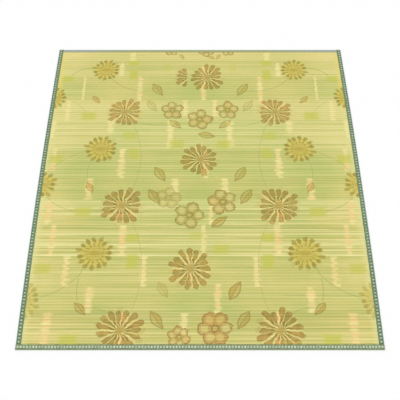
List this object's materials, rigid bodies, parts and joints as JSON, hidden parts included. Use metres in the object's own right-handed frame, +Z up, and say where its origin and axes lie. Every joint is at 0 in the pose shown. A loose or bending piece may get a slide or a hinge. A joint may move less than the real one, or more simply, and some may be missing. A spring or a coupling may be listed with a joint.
{
  "type": "bamboo floor mat",
  "caption": "Flat bamboo slat mat with a printed floral face and folded cloth binding tape on all sides, laid on a floor or bed.",
  "frame": {"origin": "on the floor under the centre of the mat", "axes": "+X along the slats, +Y across the slats from the near edge to the far edge, +Z up"},
  "size_m": [1.819, 2, 0.0059],
  "materials": {
    "bamboo_slats": "dyed and printed bamboo slats, satin",
    "green_tape": "woven green binding tape, matte"
  },
  "bodies": {
    "root": {"slat_panel": "bamboo_slats", "binding_near": "green_tape", "binding_far": "green_tape", "binding_left": "green_tape", "binding_right": "green_tape"}
  },
  "joints": []
}
